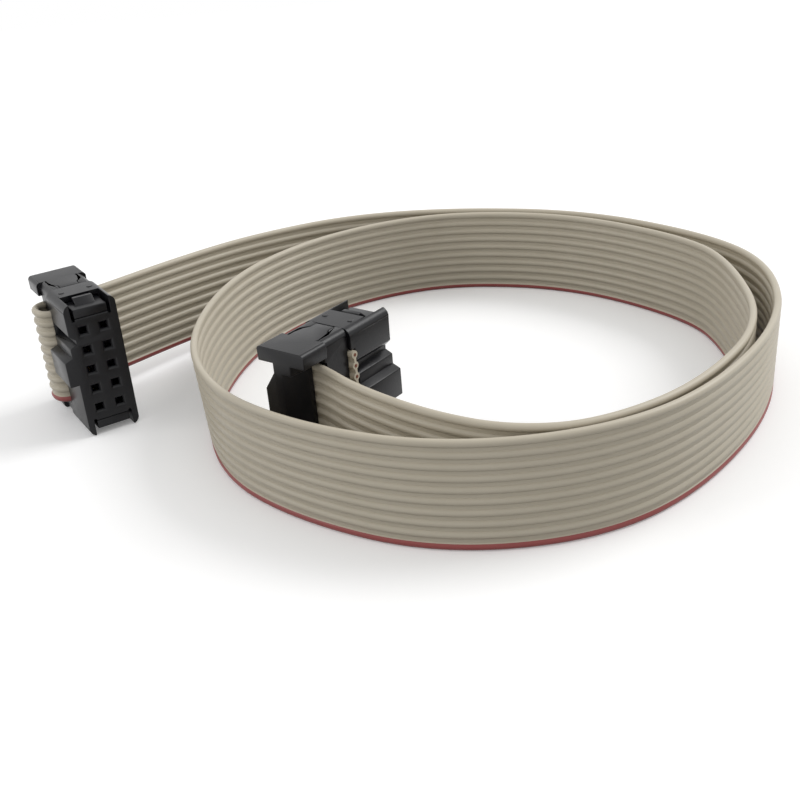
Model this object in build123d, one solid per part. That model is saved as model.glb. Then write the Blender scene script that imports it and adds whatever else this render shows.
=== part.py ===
from build123d import *
import os
from math import radians, tan

# A ten-way ribbon cable that stands on its edge in a turn and a half, with a 2 x 5 socket pressed
# on each end. Millimetres, +Z up. X runs to the right and Y away from the viewer of the photograph.
# The origin is under the middle of the whole part, on the surface that it stands on.

# Ribbon
wires = 10
wire_pitch = 1.27
wire_diameter = 0.9
conductor_diameter = 0.38
pierce_gap = 0.01
cut_end_stands_out = 0.3
fold_starts = 2.2
fold_reach = 2.1
exit_bend = 2.3
exit_bend_radius = 3.0

# Socket, overall
pin_pitch = 2.54
body_length = 17.3
body_width = 6.35
body_corner = 1.0
fit_gap = 0.05

# Shares of the room between the ribbon's edge and the socket's end
latch_slot_start = 0.2
latch_slot_end = 0.69
tongue_depth = 0.25
end_block_depth = 0.7
neck_depth = 0.45

# Housing, the lower half that holds the contacts
housing_seat = 6.2
housing_rim = 6.85
pin_hole = 0.8
pin_hole_mouth = 1.3
pin_hole_lead_in = 0.35
cavity_floor = 1.0
cavity_width = 1.0
cavity_length = 1.5
window_side_gap = 0.35
window_high = 3.3
window_notch = 0.25
key_stands_out = 1.1
key_reach = 1.6
key_foot = 2.0
key_clearance = 0.1
guide_rib_stands_out = 0.12
guide_rib_reach = 3.2
guide_groove_depth = 0.75
guide_groove_inner = 3.6
guide_groove_outer = 4.1
guide_groove_mouth = 4.8

# Cover, the upper half that presses the ribbon on to the contacts
cover_width = 5.6
cover_height = 3.35
cover_nose = 1.0
cover_corner = 0.8
cover_cheek = 0.25
arm_width = 4.1
hook_width = 2.4
hook_low = 1.4
hook_nose = 2.25
hook_high = 2.85

# Strain relief, the bar that holds the folded ribbon down
bar_height = 3.05
relief_bar_side = 2.6
relief_bar_front = 1.5
bar_front_height = 0.7
neck_front_height = 1.3
neck_side = 1.2
bar_shoulder = 2.0
tongue_width = 2.4
tongue_head_width = 3.8
tongue_neck = 8.0
tongue_shoulder = 9.0

# Contact, a flat stamping with two prongs for the pin and a forked end for the wire
contact_thickness = 0.3
prong_width = 0.36
prong_grip = 0.3
prong_mouth = 0.46
prong_tip = 1.15
prong_tip_share = 0.7
prong_lead_in = 0.8
prong_root = 4.4
prong_root_relief = 0.08
prong_middle = 1.0
prong_middle_relief = 0.12
tine_width = 0.34
tine_chamfer = 0.1
tine_slot = 0.4
tine_top = 8.0
tine_point = 0.45
fork_floor = 6.0
shoulder_low = 5.0

# Places of the two sockets: middle of the mating face on the floor, and the way the short side points
outer_place = (-36.47, -4.20)
outer_yaw = 30.9
inner_place = (-3.76, -12.65)
inner_yaw = 141.9

# Free run of the ribbon, from the outer socket to the inner one. The third number is how far the
# lower edge is off the floor: the sockets hold the ribbon up at both ends.
resting_lift = 0.02
route = [
    (-29.8, 18.8, 1.9),
    (-20.3, 28.2, 1.35),
    (-6.3, 36.4, 0.65),
    (10.3, 37.6, resting_lift),
    (29.2, 30.5, resting_lift),
    (43.0, 14.6, resting_lift),
    (46.7, 2.1, resting_lift),
    (42.1, -15.0, resting_lift),
    (29.4, -30.6, resting_lift),
    (17.0, -37.2, resting_lift),
    (1.5, -37.2, resting_lift),
    (-11.9, -29.8, resting_lift),
    (-21.3, -19.5, resting_lift),
    (-25.1, -4.3, resting_lift),
    (-21.9, 14.5, resting_lift),
    (-13.1, 27.0, resting_lift),
    (-1.0, 34.2, resting_lift),
    (11.6, 35.7, resting_lift),
    (28.0, 29.7, resting_lift),
    (41.5, 14.8, resting_lift),
    (43.6, 3.6, resting_lift),
    (40.3, -14.9, resting_lift),
    (29.3, -29.0, resting_lift),
    (17.8, -35.5, 0.1),
    (9.2, -35.9, 0.5),
    (1.8, -32.8, 1.2),
    (-6.0, -27.6, 2.0),
]
arc_share = 0.45

# Worked out from the sizes above
row_offset = pin_pitch / 2
middle = body_length / 2
ribbon_width = (wires - 1) * wire_pitch + wire_diameter
first_wire = -(wires - 1) / 2 * wire_pitch
key_height = housing_seat - key_clearance
lower_pass = housing_seat + wire_diameter / 2
cover_seat = housing_seat + wire_diameter
cover_top = cover_seat + cover_height
upper_pass = cover_top + wire_diameter / 2
relief_seat = cover_top + wire_diameter
relief_top = relief_seat + bar_height
ribbon_edge = ribbon_width / 2 + fit_gap
cut_end = body_width / 2 + cut_end_stands_out
end_room = middle - ribbon_edge
latch_slot_inner = ribbon_edge + latch_slot_start * end_room
latch_slot_outer = ribbon_edge + latch_slot_end * end_room
tongue_inner = middle - tongue_depth * end_room
outer_socket = Plane(origin=(*outer_place, middle), x_dir=Vector(1, 0, 0).rotate(Axis.Z, outer_yaw))
inner_socket = Plane(origin=(*inner_place, middle), x_dir=Vector(1, 0, 0).rotate(Axis.Z, inner_yaw))
outer_ribbon = outer_socket
inner_ribbon = Plane(inner_socket.location * Rot(0, 180, 0))


def block(x_low, x_high, y_low, y_high, z_low, z_high):
    """A plain block between two corners."""
    size = (x_high - x_low, y_high - y_low, z_high - z_low)
    centre = ((x_low + x_high) / 2, (y_low + y_high) / 2, (z_low + z_high) / 2)
    return Pos(*centre) * Box(*size)


def both_ends(shape):
    """The shape and its mirror image in the socket's mid-height plane."""
    return shape + mirror(shape, about=Plane.XY)


def plate_across(points, thickness, x_middle=0.0):
    """A plate that stands across X, from an outline in Y and Z."""
    face = make_face(Polyline(*[(0, y, z) for y, z in points], close=True))
    return Pos(x_middle - thickness / 2, 0, 0) * extrude(face, amount=thickness, dir=(1, 0, 0))


def bar_along(points, z_low, z_high):
    """A bar that runs along Z, from an outline in X and Y."""
    face = make_face(Polyline(*[(x, y, z_low) for x, y in points], close=True))
    return extrude(face, amount=z_high - z_low, dir=(0, 0, 1))


def contact_spots():
    """Each contact's number, row side and pin height: odd wires on one row, even ones on the other."""
    for number in range(wires):
        side = 1 if number % 2 == 0 else -1
        wire_height = first_wire + number * wire_pitch
        yield number + 1, side, wire_height + side * wire_pitch / 2


def fork_range(side, pin_height):
    """Lowest and highest point of a contact's forked end, which sits half a wire pitch off its pin."""
    wire_height = pin_height - side * wire_pitch / 2
    reach = tine_slot / 2 + tine_width
    return wire_height - reach, wire_height + reach


def housing_outline():
    """Outline of the housing in X and Z. The key is on the -X side, with a rib and a groove above it."""
    wall = body_width / 2
    rib = wall + guide_rib_stands_out
    key = wall + key_stands_out
    groove = wall - guide_groove_depth
    return [
        (-wall, middle),
        (-wall, guide_groove_mouth),
        (-groove, guide_groove_outer),
        (-groove, guide_groove_inner),
        (-rib, guide_rib_reach),
        (-rib, key_foot),
        (-key, key_reach),
        (-key, -key_reach),
        (-wall, -key_reach),
        (-wall, -middle),
        (wall, -middle),
        (wall, middle),
    ]


def housing():
    """Lower half with pin holes, contact cavities, latch slots and windows, and the polarising key."""
    wall = body_width / 2
    face = make_face(Polyline(*[(x, 0, z) for x, z in housing_outline()], close=True))
    body = extrude(face, amount=key_height, dir=(0, 1, 0))
    body += block(-wall, wall, key_height, housing_rim, -middle, middle)
    corners = body.edges().filter_by(Axis.Y).filter_by(lambda e: abs(abs(e.center().Z) - middle) < 0.01)
    body = fillet(corners, body_corner)
    body -= block(-wall, wall, housing_seat, housing_rim, -ribbon_edge, ribbon_edge)
    half_slot = arm_width / 2 + fit_gap
    half_window = arm_width / 2 + window_side_gap
    slot = block(-half_slot, half_slot, 0, housing_rim, latch_slot_inner, latch_slot_outer)
    window = block(-half_window, half_window, 0, window_high, latch_slot_inner, middle)
    notch_floor = latch_slot_inner - window_notch
    notch = block(arm_width / 2, half_window, 0, window_high, notch_floor, latch_slot_inner)
    body -= both_ends(slot + window + notch + mirror(notch, about=Plane.YZ))
    body -= [cavity(side, pin_height) for _, side, pin_height in contact_spots()]
    return body


def cavity(side, pin_height):
    """Square pin hole with its lead-in, the room for the prongs and the slot for the forked end."""
    x = side * row_offset
    entry = Plane(origin=(x, 0, pin_height), x_dir=(1, 0, 0), z_dir=(0, 1, 0))
    throat = Rectangle(pin_hole, pin_hole)
    mouth = Rectangle(pin_hole_mouth, pin_hole_mouth)
    hole = loft([entry * mouth, entry.offset(pin_hole_lead_in) * throat])
    hole += extrude(entry * throat, amount=cavity_floor)
    half_width = cavity_width / 2
    half_length = cavity_length / 2
    bottom = pin_height - half_length
    top = pin_height + half_length
    room = block(x - half_width, x + half_width, cavity_floor, shoulder_low, bottom, top)
    low, high = fork_range(side, pin_height)
    low = min(low, bottom) - fit_gap
    high = max(high, top) + fit_gap
    half_slot = contact_thickness / 2 + fit_gap / 2
    slot = block(x - half_slot, x + half_slot, shoulder_low, housing_rim, low, high)
    return hole + room + slot


def contact(side, pin_height):
    """One stamped contact: two prongs for the pin, a shoulder, and two tines that grip the wire."""
    wire = pin_height - side * wire_pitch / 2
    low, high = fork_range(side, pin_height)
    root = prong_grip + prong_width
    bottom = min(low, pin_height - root)
    top = max(high, pin_height + root)
    seat = housing_seat - fit_gap
    slot_low = wire - tine_slot / 2
    slot_high = wire + tine_slot / 2
    neck = tine_top - tine_point
    prong = [
        (prong_tip, prong_mouth),
        (prong_tip, prong_mouth + prong_width * prong_tip_share),
        (prong_tip + prong_lead_in, root),
        (shoulder_low, root),
    ]
    inside = [
        (prong_root, prong_grip + prong_root_relief),
        (prong_root - prong_middle, prong_grip + prong_middle_relief),
        (prong_tip + prong_lead_in, prong_grip),
    ]
    fork = [
        (shoulder_low, bottom),
        (seat, bottom),
        (seat, low),
        (neck, low),
        (tine_top, slot_low - tine_chamfer),
        (neck, slot_low),
        (fork_floor, slot_low),
        (fork_floor, slot_high),
        (neck, slot_high),
        (tine_top, slot_high + tine_chamfer),
        (neck, high),
        (seat, high),
        (seat, top),
        (shoulder_low, top),
    ]
    outline = [(y, pin_height - z) for y, z in prong]
    outline += fork
    outline += [(y, pin_height + z) for y, z in reversed(prong)]
    outline += [(y, pin_height + z) for y, z in reversed(inside)]
    outline += [(y, pin_height - z) for y, z in inside]
    corners = [point for point, last in zip(outline, outline[-1:] + outline) if point != last]
    return plate_across(corners, contact_thickness, side * row_offset)


def cover():
    """Upper half: the ribbon wraps round its nose, and two arms with hooks latch into the housing."""
    half = cover_width / 2
    body = block(-half, half, cover_seat, cover_top, -ribbon_edge, ribbon_edge)
    body = fillet(body.edges().filter_by(Axis.Z).group_by(Axis.X)[0], cover_nose)
    cheek = block(-half, half, housing_rim, cover_top + cover_cheek, ribbon_edge, middle)
    cheek = fillet(cheek.edges().filter_by(Axis.Y).group_by(Axis.Z)[-1], cover_corner)
    inner = latch_slot_inner + fit_gap
    outer = latch_slot_outer - fit_gap
    nose = middle - 2 * fit_gap
    arm = block(-arm_width / 2, arm_width / 2, fit_gap, cover_seat, inner, outer)
    hook_outline = [(hook_low, outer), (hook_nose, nose), (hook_high, nose), (hook_high, outer)]
    body += both_ends(cheek + arm + plate_across(hook_outline, hook_width))
    body -= both_ends(tongue(fit_gap))
    half_slot = contact_thickness / 2 + fit_gap
    for _, side, pin_height in contact_spots():
        low, high = fork_range(side, pin_height)
        x = side * row_offset
        top = tine_top + 2 * fit_gap
        body -= block(x - half_slot, x + half_slot, housing_rim, top, low - fit_gap, high + fit_gap)
    return body


def tongue(gap=0.0):
    """Tongue of the strain relief that lies in the cover's end face, narrower towards its tip."""
    half_head = tongue_head_width / 2 + gap
    half_tip = tongue_width / 2 + gap
    tip_low = housing_rim + 2 * (fit_gap - gap)
    side = [
        (half_head, cover_top + cover_cheek),
        (half_head, tongue_shoulder - gap),
        (half_tip, tongue_neck - gap),
        (half_tip, tip_low),
    ]
    return bar_along(side + [(-x, y) for x, y in reversed(side)], tongue_inner - gap, middle)


def strain_relief():
    """Bar over the folded ribbon, with necks, end blocks and tongues at both ends."""
    neck_end = middle - end_block_depth * end_room
    bar_end = neck_end - neck_depth * end_room
    bar = bar_along(
        [
            (-relief_bar_side, relief_seat),
            (-relief_bar_side, relief_top),
            (0, relief_top),
            (relief_bar_front, relief_seat + bar_front_height),
            (relief_bar_front, relief_seat),
        ],
        -bar_end,
        bar_end,
    )
    bevel_corners = [
        (-relief_bar_side, relief_seat, bar_end - bar_shoulder),
        (-neck_side, relief_seat, bar_end),
        (-relief_bar_side, relief_seat, bar_end),
    ]
    bevel = extrude(make_face(Polyline(*bevel_corners, close=True)), amount=bar_height, dir=(0, 1, 0))
    bar -= both_ends(bevel)
    neck = bar_along(
        [
            (-neck_side, relief_seat),
            (-neck_side, relief_top),
            (neck_side, relief_top),
            (relief_bar_front, relief_seat + neck_front_height),
            (relief_bar_front, relief_seat),
        ],
        bar_end,
        neck_end,
    )
    half = body_width / 2
    end = block(-half, half, cover_top + cover_cheek, relief_top, neck_end, middle)
    end = fillet(end.edges().filter_by(Axis.Y).group_by(Axis.Z)[-1], body_corner / 2)
    return bar + both_ends(neck + end + tongue())


def wire_rods(diameter):
    """The wires' cores in the ribbon's end, from the cut face to the start of the fold."""
    face = Plane(origin=(-fold_starts, lower_pass, 0), x_dir=(0, 1, 0), z_dir=(1, 0, 0))
    heights = [first_wire + number * wire_pitch for number in range(wires)]
    outline = RegularPolygon(diameter / 2, side_count=12)
    return [extrude(face * Pos(0, height) * outline, amount=fold_starts + cut_end) for height in heights]


def fork_slots():
    """What the forked ends of the contacts pierce in the ribbon."""
    half = contact_thickness / 2 + pierce_gap
    slots = []
    for _, side, pin_height in contact_spots():
        low, high = fork_range(side, pin_height)
        x = side * row_offset
        slots.append(
            block(x - half, x + half, housing_seat, cover_seat, low - pierce_gap, high + pierce_gap)
        )
    return slots


def ribbon_path():
    """The ribbon's middle line: cut end, fold, free run, fold and cut end, as runs and tangent arcs."""
    corner = fold_starts + fold_reach
    lay = [(cut_end, lower_pass), (-corner, lower_pass), (-corner, upper_pass), (exit_bend, upper_pass)]
    start = [outer_ribbon.from_local_coords((x, y, 0)) for x, y in lay]
    free = [Vector(x, y, lift + ribbon_width / 2) for x, y, lift in route]
    finish = [inner_ribbon.from_local_coords((x, y, 0)) for x, y in reversed(lay)]
    points = start + free + finish
    radii = []
    for before, bend, after in zip(points, points[1:], points[2:]):
        arriving = bend - before
        leaving = after - bend
        turn = radians(arriving.get_angle(leaving))
        radii.append(arc_share * min(arriving.length, leaving.length) / tan(turn / 2))
    radii[:3] = [fold_reach, fold_reach, exit_bend_radius]
    radii[-3:] = [exit_bend_radius, fold_reach, fold_reach]
    print("radii", [round(radius, 1) for radius in radii])
    return FilletPolyline(*points, radius=radii)


def strip_along(run, **guide):
    """The ribbon's flat section, on its edge, along one stretch of the path."""
    section = Plane(origin=run @ 0, x_dir=(0, 0, 1), z_dir=run % 0) * Rectangle(ribbon_width, wire_diameter)
    return sweep(section, path=run, **guide)


def ribbon():
    """The whole ribbon as one flat strip on its edge, with its ends cut for conductors and forks."""
    path = ribbon_path()
    level = resting_lift + ribbon_width / 2
    resting = [edge for edge in path.edges() if all(abs((edge @ t).Z - level) < 1e-4 for t in (0, 0.5, 1))]
    rising = [edge for edge in path.edges() if edge not in resting]
    strip = strip_along(Wire(resting))
    for run in Wire.combine(rising):
        strip += strip_along(run, binormal=Pos(0, 0, ribbon_width) * run)
    print("ribbon length", round(path.length, 1))
    plain_volume = ribbon_width * wire_diameter * path.length
    print("volume over section x length", round(strip.volume / plain_volume, 4))
    for place in (outer_ribbon.location, inner_ribbon.location):
        strip -= [place * cut for cut in wire_rods(conductor_diameter) + fork_slots()]
    return strip


def write(shape, name):
    export_step(shape, f"parts/{name}.step")


def write_socket(name, socket, ribbon_end):
    """Every piece of one socket: the housing's own pieces, and those that follow the ribbon's end."""
    write(socket * housing(), f"{name}_housing")
    write(ribbon_end * cover(), f"{name}_cover")
    write(ribbon_end * strain_relief(), f"{name}_strain_relief")
    for number, side, pin_height in contact_spots():
        write(socket * contact(side, pin_height), f"{name}_contact_{number:02d}")
    cores = [ribbon_end * rod for rod in wire_rods(conductor_diameter)]
    write(Compound(children=cores), f"{name}_conductor_ends")


os.makedirs("parts", exist_ok=True)
write_socket("outer", outer_socket.location, outer_ribbon.location)
write_socket("inner", inner_socket.location, inner_ribbon.location)
write(ribbon(), "ribbon")
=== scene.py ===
import bpy
import bmesh
from math import acos, asin, cos, degrees, radians, sin
from mathutils import Matrix, Vector


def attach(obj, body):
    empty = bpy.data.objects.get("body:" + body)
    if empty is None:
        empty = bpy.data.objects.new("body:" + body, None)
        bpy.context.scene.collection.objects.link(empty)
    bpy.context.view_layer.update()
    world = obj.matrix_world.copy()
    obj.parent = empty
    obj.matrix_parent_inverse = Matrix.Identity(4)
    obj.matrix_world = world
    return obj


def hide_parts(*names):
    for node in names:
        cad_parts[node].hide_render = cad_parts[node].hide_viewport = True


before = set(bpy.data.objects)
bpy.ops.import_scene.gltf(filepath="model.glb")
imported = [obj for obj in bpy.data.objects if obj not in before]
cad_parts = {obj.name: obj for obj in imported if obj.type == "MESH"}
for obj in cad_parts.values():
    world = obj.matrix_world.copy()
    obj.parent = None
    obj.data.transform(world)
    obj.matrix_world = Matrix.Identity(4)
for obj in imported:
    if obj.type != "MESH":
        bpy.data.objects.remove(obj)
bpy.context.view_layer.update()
print("frame loaded")


def millimetres(*values):
    return Vector(values) / 1000


def addObject(name, data):
    thing = bpy.data.objects.new(name, data)
    bpy.context.scene.collection.objects.link(thing)
    return thing


photoCamera = {
    "place": (-0.8, -124.9, 60.56),
    "pitch": 26.358,  # degrees down
    "lean": -4.829,  # degrees, the picture's tilt
    "lens": 48.6,
    "sensor": 36,
    "nearest": 0.001,  # metres
    "furthest": 10,
}


def makeCamera(look):
    pitch = radians(look["pitch"])
    lean = radians(look["lean"])
    level = Vector((1, 0, 0))
    raised = Vector((0, sin(pitch), cos(pitch)))
    backwards = Vector((0, -cos(pitch), sin(pitch)))
    right = level * cos(lean) + raised * sin(lean)
    up = raised * cos(lean) - level * sin(lean)
    data = bpy.data.cameras.new("photoCamera")
    data.lens = look["lens"]
    data.sensor_width = look["sensor"]
    data.clip_start = look["nearest"]
    data.clip_end = look["furthest"]
    camera = addObject("photoCamera", data)
    turn = Matrix((right, up, backwards)).transposed().to_4x4()
    camera.matrix_world = Matrix.Translation(millimetres(*look["place"])) @ turn
    bpy.context.scene.camera = camera


makeCamera(photoCamera)
print("camera placed")


def newMaterial(name):
    material = bpy.data.materials.new(name)
    material.use_nodes = True
    return material, material.node_tree.nodes, material.node_tree.links


def addNoise(nodes, links, place, scale, detail):
    noise = nodes.new("ShaderNodeTexNoise")
    noise.inputs["Scale"].default_value = scale
    noise.inputs["Detail"].default_value = detail
    links.new(place.outputs["Object"], noise.inputs["Vector"])
    return noise.outputs["Fac"]


def varyFinish(nodes, links, shader, noise, look):
    tint = nodes.new("ShaderNodeMix")
    tint.data_type = "RGBA"
    tint.inputs["A"].default_value = (*look["colour"], 1)
    tint.inputs["B"].default_value = (*look["cloudColour"], 1)
    links.new(noise, tint.inputs["Factor"])
    links.new(tint.outputs["Result"], shader.inputs["Base Color"])
    rough = nodes.new("ShaderNodeMapRange")
    rough.inputs["To Min"].default_value = look["roughness"][0]
    rough.inputs["To Max"].default_value = look["roughness"][1]
    links.new(noise, rough.inputs["Value"])
    links.new(rough.outputs["Result"], shader.inputs["Roughness"])


def makePlastic(name, look):
    material, nodes, links = newMaterial(name)
    shader = nodes["Principled BSDF"]
    shader.inputs["Specular IOR Level"].default_value = look["shine"]
    place = nodes.new("ShaderNodeTexCoord")
    cloud = addNoise(nodes, links, place, look["cloudScale"], look["cloudDetail"])
    varyFinish(nodes, links, shader, cloud, look)
    bump = nodes.new("ShaderNodeBump")
    bump.inputs["Strength"].default_value = look["grainStrength"]
    bump.inputs["Distance"].default_value = look["grainHeight"]
    grain = addNoise(nodes, links, place, look["grainScale"], look["grainDetail"])
    links.new(grain, bump.inputs["Height"])
    links.new(bump.outputs["Normal"], shader.inputs["Normal"])
    return material


def makeMetal(name, look):
    material, nodes, links = newMaterial(name)
    shader = nodes["Principled BSDF"]
    shader.inputs["Metallic"].default_value = 1
    place = nodes.new("ShaderNodeTexCoord")
    cloud = addNoise(nodes, links, place, look["cloudScale"], look["cloudDetail"])
    varyFinish(nodes, links, shader, cloud, look)
    return material


insulationLook = {
    "colour": (0.53, 0.48, 0.385),
    "cloudColour": (0.495, 0.445, 0.35),
    "cloudScale": 260,
    "cloudDetail": 4,
    "roughness": (0.36, 0.46),
    "shine": 0.45,
    "grainScale": 2600,
    "grainDetail": 2,
    "grainStrength": 0.2,
    "grainHeight": 0.00003,
}
redWireLook = {
    **insulationLook,
    "colour": (0.33, 0.075, 0.07),
    "cloudColour": (0.28, 0.06, 0.056),
}
socketPlasticLook = {
    "colour": (0.003, 0.003, 0.0045),
    "cloudColour": (0.0055, 0.0055, 0.007),
    "cloudScale": 700,
    "cloudDetail": 4,
    "roughness": (0.26, 0.36),
    "shine": 0.32,
    "grainScale": 5200,
    "grainDetail": 2,
    "grainStrength": 0.25,
    "grainHeight": 0.00004,
}
contactLook = {
    "colour": (0.80, 0.60, 0.27),
    "cloudColour": (0.66, 0.47, 0.2),
    "cloudScale": 1800,
    "cloudDetail": 3,
    "roughness": (0.25, 0.4),
}
copperLook = {
    **contactLook,
    "colour": (0.24, 0.10, 0.065),
    "cloudColour": (0.15, 0.06, 0.04),
    "roughness": (0.4, 0.55),
}

insulation = makePlastic("greyInsulation", insulationLook)
redInsulation = makePlastic("redInsulation", redWireLook)
socketPlastic = makePlastic("blackSocketPlastic", socketPlasticLook)
contactMetal = makeMetal("contactGold", contactLook)
copper = makeMetal("bareCopper", copperLook)
print("materials made")


sockets = {
    "outer": {"place": (-36.47, -4.2), "yaw": 30.9, "ribbonSide": 1},
    "inner": {"place": (-3.76, -12.65), "yaw": 141.9, "ribbonSide": -1},
}
socketMiddle = 8.65
ribbonStrip = {
    "wires": 10,
    "pitch": 1.27,
    "wireRadius": 0.45,
    "web": 0.34,  # thickness between two wires
    "arcSteps": 8,
    "redOutside": 50,  # degrees up the lowest wire that the red reaches, on the turn's outer face
    "redInside": 30,
    "curveSteps": 24,  # between two points of the route
    "spacing": 0.9,  # between two rings of the mesh
    "stepBend": 6,  # degrees in one step of the line that call for a ring
    "ringBend": 7,  # degrees since the last ring
    "length": 449.1,
    "width": 12.4,
}
restingLift = 0.02

# the ribbon in a socket, across and deep, from its cut end out
ribbonLay = [(3.42, 6.65), (-0.05, 6.65), (-4.3, 6.65), (-4.3, 10.9), (-0.05, 10.9), (2.3, 10.9)]

# along the table: across, away, height of the red edge, and how far that edge leans out of the turn
freeRun = [
    (-29.8, 18.8, 1.9, 0),
    (-20.3, 28.2, 1.35, 0),
    (-6.3, 36.4, 0.65, 0),
    (10.3, 37.6, restingLift, 0),
    (29.3, 30.6, restingLift, 0),
    (43.6, 15.0, restingLift, 0.4),
    (47.3, 2.1, restingLift, 0.7),
    (42.1, -15.0, restingLift, -0.6),
    (29.4, -30.6, restingLift, -0.8),
    (17.0, -37.2, restingLift, 0),
    (1.5, -37.2, restingLift, 0),
    (-11.9, -29.8, restingLift, -0.6),
    (-21.3, -19.5, restingLift, -0.6),
    (-25.1, -4.3, restingLift, -0.8),
    (-21.9, 14.5, restingLift, -0.9),
    (-13.1, 27.0, restingLift, 0),
    (-1.0, 34.2, restingLift, 0.5),
    (11.6, 35.7, restingLift, 0.9),
    (27.8, 29.4, restingLift, 0.9),
    (40.5, 14.4, restingLift, 0.3),
    (42.5, 3.6, restingLift, 0),
    (40.3, -14.9, restingLift, 0),
    (29.3, -29.0, restingLift, 0),
    (17.8, -35.5, 0.1, 0),
    (9.2, -35.9, 0.5, 0),
    (1.8, -32.8, 1.2, 0),
    (-5.2, -27.2, 2.0, 0),
]


def socketFrame(socket):
    return Matrix.Translation(millimetres(*socket["place"], socketMiddle)) @ Matrix.Rotation(
        radians(socket["yaw"]), 4, "Z"
    )


def inSocket(socket, across, deep, height=0):
    return socketFrame(socket) @ millimetres(across * socket["ribbonSide"], deep, height)


def routePoints(strip):
    half = (strip["wires"] - 1) / 2 * strip["pitch"] + strip["wireRadius"]
    start = [inSocket(sockets["outer"], *spot) for spot in ribbonLay]
    run = [millimetres(x, y, lift + half) for x, y, lift, lean in freeRun]
    finish = [inSocket(sockets["inner"], *spot) for spot in reversed(ribbonLay)]
    return start + run + finish


def routeLeans(route):
    # the same points with the lean as their height, so that it is read off the same curve
    held = [0] * len(ribbonLay)
    leans = held + [lean for x, y, lift, lean in freeRun] + held
    return [Vector((point.x, point.y, lean / 1000)) for point, lean in zip(route, leans)]


def readCurve(points, steps):
    data = bpy.data.curves.new("ribbonRoute", "CURVE")
    data.dimensions = "3D"
    data.resolution_u = steps
    spline = data.splines.new("NURBS")
    spline.points.add(len(points) - 1)
    for place, point in zip(spline.points, points):
        place.co = (*point, 1)
    spline.order_u = 3
    spline.use_endpoint_u = True
    carrier = bpy.data.objects.new("ribbonRoute", data)
    line = bpy.data.meshes.new_from_object(carrier)
    places = [vertex.co.copy() for vertex in line.vertices]
    bpy.data.objects.remove(carrier)
    bpy.data.meshes.remove(line)
    return places


def thinOut(places, strip):
    # numbers of the points to keep: closer together where the line bends
    kept = [0]
    for i in range(1, len(places) - 1):
        ahead = places[i + 1] - places[i]
        since = places[i] - places[kept[-1]]
        bend = degrees((places[i] - places[i - 1]).angle(ahead, 0))
        turned = degrees(since.angle(ahead, 0))
        if since.length > strip["spacing"] / 1000 or bend > strip["stepBend"] or turned > strip["ringBend"]:
            kept.append(i)
    return kept + [len(places) - 1]


def ribbedSide(strip):
    # height, depth, wire number and angle on the wire, up one side of the strip
    radius = strip["wireRadius"]
    lowest = -(strip["wires"] - 1) / 2 * strip["pitch"]
    webAngle = degrees(acos(strip["web"] / 2 / radius))
    side = []
    for wire in range(strip["wires"]):
        start = -90 if wire == 0 else -webAngle
        finish = 90 if wire == strip["wires"] - 1 else webAngle
        for step in range(strip["arcSteps"] + 1):
            angle = start + (finish - start) * step / strip["arcSteps"]
            height = lowest + wire * strip["pitch"] + radius * sin(radians(angle))
            side.append((height, radius * cos(radians(angle)), wire, angle))
    return side


def isRed(strip, corner, nextCorner):
    if corner[2] or nextCorner[2]:
        return False
    innerFace = corner[1] + nextCorner[1] > 0
    reach = strip["redInside"] if innerFace else strip["redOutside"]
    return max(corner[3], nextCorner[3]) < reach


def makeRibbon(strip):
    route = routePoints(strip)
    line = readCurve(route, strip["curveSteps"])
    leans = readCurve(routeLeans(route), strip["curveSteps"])
    kept = thinOut(line, strip)
    places = [line[i] for i in kept]
    tilts = [asin(leans[i].z * 1000 / strip["width"]) for i in kept]
    side = ribbedSide(strip)
    ring = side + [(height, -depth, wire, angle) for height, depth, wire, angle in reversed(side[1:-1])]
    mesh = bmesh.new()
    rings = []
    for i, place in enumerate(places):
        along = (places[min(i + 1, len(places) - 1)] - places[max(i - 1, 0)]).normalized()
        inwards = along.cross(Vector((0, 0, 1))).normalized()
        upwards = inwards.cross(along)
        lean = Matrix.Rotation(tilts[i], 3, along)
        inwards = lean @ inwards
        upwards = lean @ upwards
        rings.append([
            mesh.verts.new(place + upwards * corner[0] / 1000 + inwards * corner[1] / 1000)
            for corner in ring
        ])
    for first, second in zip(rings, rings[1:]):
        for i in range(len(ring)):
            j = (i + 1) % len(ring)
            face = mesh.faces.new((first[i], second[i], second[j], first[j]))
            face.smooth = True
            face.material_index = 1 if isRed(strip, ring[i], ring[j]) else 0
    for i in range(len(ring)):
        if ring[i][2] != ring[(i + 1) % len(ring)][2]:  # keep the grooves crisp
            for corner in (i, (i + 1) % len(ring)):
                for first, second in zip(rings, rings[1:]):
                    mesh.edges.get((first[corner], second[corner])).smooth = False
    for last in (rings[0], rings[-1]):
        cut = mesh.faces.new(last)
        for edge in cut.edges:
            edge.smooth = False
    bmesh.ops.recalc_face_normals(mesh, faces=mesh.faces)
    data = bpy.data.meshes.new("ribbonStrip")
    mesh.to_mesh(data)
    mesh.free()
    data.materials.append(insulation)
    data.materials.append(redInsulation)
    ribbon = addObject("ribbonStrip", data)
    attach(ribbon, "root")
    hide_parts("ribbon")
    return ribbon, places


ribbon, ribbonLine = makeRibbon(ribbonStrip)
print("ribbon made,", len(ribbonLine), "rings")


softEdges = {
    "radius": 0.12,
    "segments": 3,
    "shortest": 0.5,  # an edge shorter than this stays sharp
    "leastAngle": 40,  # degrees between two faces that a soft edge joins
    "weld": 0.002,
    "flatAngle": 1.5,  # degrees under which two faces become one
    "creaseAngle": 35,  # degrees over which the shading breaks
}


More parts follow.
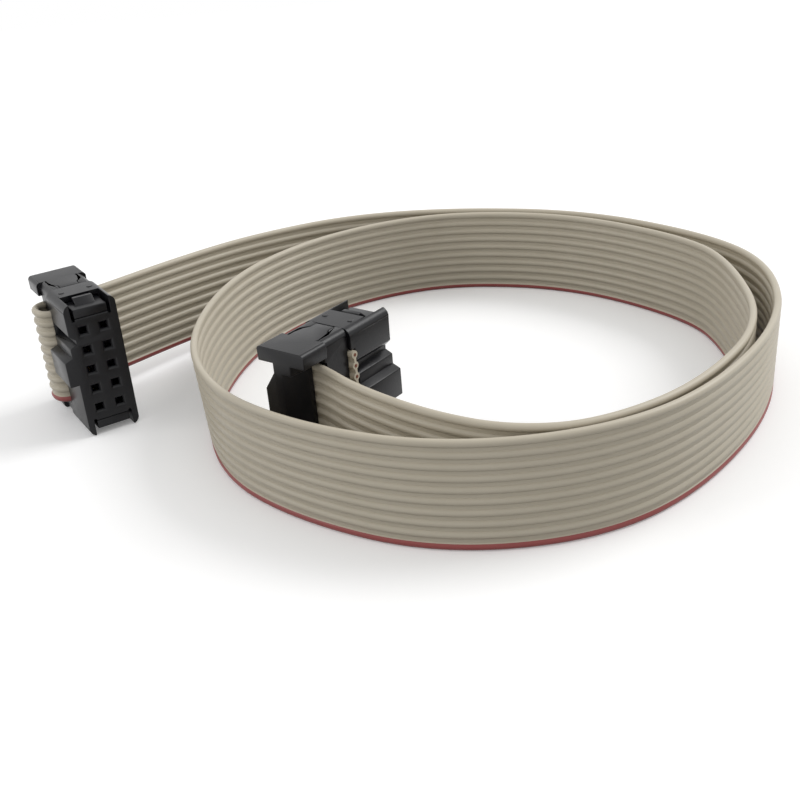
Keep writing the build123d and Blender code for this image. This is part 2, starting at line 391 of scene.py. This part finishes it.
def softenedCopy(node, look):
    mesh = bmesh.new()
    mesh.from_mesh(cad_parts[node].data)
    bmesh.ops.remove_doubles(mesh, verts=mesh.verts, dist=look["weld"] / 1000)
    bmesh.ops.dissolve_limit(
        mesh,
        angle_limit=radians(look["flatAngle"]),
        verts=mesh.verts,
        edges=mesh.edges,
        delimit={"NORMAL"},
    )
    soft = [
        edge
        for edge in mesh.edges
        if edge.is_manifold
        and edge.is_convex
        and degrees(edge.calc_face_angle()) > look["leastAngle"]
        and edge.calc_length() > look["shortest"] / 1000
    ]
    bmesh.ops.bevel(
        mesh,
        geom=soft,
        offset=look["radius"] / 1000,
        segments=look["segments"],
        profile=0.5,
        affect="EDGES",
        clamp_overlap=False,
    )
    for face in mesh.faces:
        face.smooth = True
    for edge in mesh.edges:
        if edge.is_manifold and degrees(edge.calc_face_angle()) > look["creaseAngle"]:
            edge.smooth = False
    data = bpy.data.meshes.new(node)
    mesh.to_mesh(data)
    mesh.free()
    return data


def makeSocket(name):
    pieces = []
    for part in ("housing", "cover", "strain_relief"):
        node = f"{name}_{part}"
        data = softenedCopy(node, softEdges)
        data.materials.append(socketPlastic)
        piece = addObject(f"{node}_soft", data)
        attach(piece, "root")
        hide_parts(node)
        pieces.append(piece)
    return pieces


mouldPips = {
    "places": [(-1.75, 4.85), (1.75, 4.85)],  # across and deep on the housing's upper end
    "foot": 0.52,
    "top": 0.3,
    "rise": 0.08,
    "sides": 24,
}


def makeMouldPips(name, look):
    mesh = bmesh.new()
    for across, deep in look["places"]:
        bmesh.ops.create_cone(
            mesh,
            cap_ends=True,
            segments=look["sides"],
            radius1=look["foot"] / 1000,
            radius2=look["top"] / 1000,
            depth=look["rise"] * 2 / 1000,  # the lower half is sunk in the housing
            matrix=Matrix.Translation(inSocket(sockets[name], across, deep, socketMiddle)),
        )
    data = bpy.data.meshes.new(f"{name}_mould_pips")
    mesh.to_mesh(data)
    mesh.free()
    data.materials.append(socketPlastic)
    pips = addObject(f"{name}_mould_pips", data)
    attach(pips, "root")
    return pips


socketPieces = {name: [*makeSocket(name), makeMouldPips(name, mouldPips)] for name in sockets}

for name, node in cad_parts.items():
    if "contact" in name or "conductor" in name:
        node.data.materials.clear()
        node.data.materials.append(copper if "conductor" in name else contactMetal)
print("sockets dressed")

studio = {
    "floor": 0.9,  # metres, as all places and sizes here
    "floorRoughness": 0.9,
    "floorColour": (0.25, 0.25, 0.25),
    "seenColour": (0.95, 0.95, 0.95),  # the same table as the camera sees it
    "seenGlow": 0.14,
    "roomLight": 0.72,
    "lamps": [
        {"name": "keyPanel", "place": (1.0, 0.4, 1.1), "aim": (0, 0, 0), "size": 0.8, "power": 10.0},
        {"name": "leftPanel", "place": (-0.6, -0.1, 0.3), "aim": (0, 0, 0.01), "size": 0.25, "power": 0.6},
    ],
}


def seenRays(nodes, links):
    # 1 for what the camera sees, straight or through gloss and glass
    rays = nodes.new("ShaderNodeLightPath")
    mirror = nodes.new("ShaderNodeMath")
    mirror.operation = "MAXIMUM"
    links.new(rays.outputs["Is Camera Ray"], mirror.inputs[0])
    links.new(rays.outputs["Is Glossy Ray"], mirror.inputs[1])
    clear = nodes.new("ShaderNodeMath")
    clear.operation = "MAXIMUM"
    links.new(mirror.outputs[0], clear.inputs[0])
    links.new(rays.outputs["Is Transmission Ray"], clear.inputs[1])
    return clear.outputs[0]


def chooseSeen(nodes, links, unseen, seen, surface):
    choice = nodes.new("ShaderNodeMixShader")
    links.new(seenRays(nodes, links), choice.inputs[0])
    links.new(unseen, choice.inputs[1])
    links.new(seen, choice.inputs[2])
    links.new(choice.outputs[0], surface)


def makeFloor(look):
    bpy.ops.mesh.primitive_plane_add(size=look["floor"])
    floor = bpy.context.object
    floor.name = "table"
    material, nodes, links = newMaterial("whiteTable")
    shader = nodes["Principled BSDF"]
    shader.inputs["Base Color"].default_value = (*look["floorColour"], 1)
    shader.inputs["Roughness"].default_value = look["floorRoughness"]
    bright = nodes.new("ShaderNodeBsdfDiffuse")
    bright.inputs["Color"].default_value = (*look["seenColour"], 1)
    glow = nodes.new("ShaderNodeEmission")
    glow.inputs["Strength"].default_value = look["seenGlow"]
    both = nodes.new("ShaderNodeAddShader")
    links.new(bright.outputs[0], both.inputs[0])
    links.new(glow.outputs[0], both.inputs[1])
    surface = nodes["Material Output"].inputs["Surface"]
    chooseSeen(nodes, links, shader.outputs[0], both.outputs[0], surface)
    floor.data.materials.append(material)


def makeRoom(look):
    world = bpy.data.worlds.new("studioRoom")
    world.use_nodes = True
    nodes, links = world.node_tree.nodes, world.node_tree.links
    room = nodes["Background"]
    room.inputs["Color"].default_value = (1, 1, 1, 1)
    room.inputs["Strength"].default_value = look["roomLight"]
    white = nodes.new("ShaderNodeBackground")
    white.inputs["Color"].default_value = (1, 1, 1, 1)
    white.inputs["Strength"].default_value = 1
    surface = nodes["World Output"].inputs["Surface"]
    chooseSeen(nodes, links, room.outputs[0], white.outputs[0], surface)
    bpy.context.scene.world = world


def makeLamp(look):
    data = bpy.data.lights.new(look["name"], "AREA")
    data.shape = "SQUARE"
    data.size = look["size"]
    data.energy = look["power"]
    light = addObject(look["name"], data)
    light.location = look["place"]
    aim = Vector(look["aim"]) - light.location
    light.rotation_euler = aim.to_track_quat("-Z", "Y").to_euler()


makeFloor(studio)
makeRoom(studio)
for lamp in studio["lamps"]:
    makeLamp(lamp)
bpy.context.scene.view_settings.view_transform = "Standard"
print("studio lit")
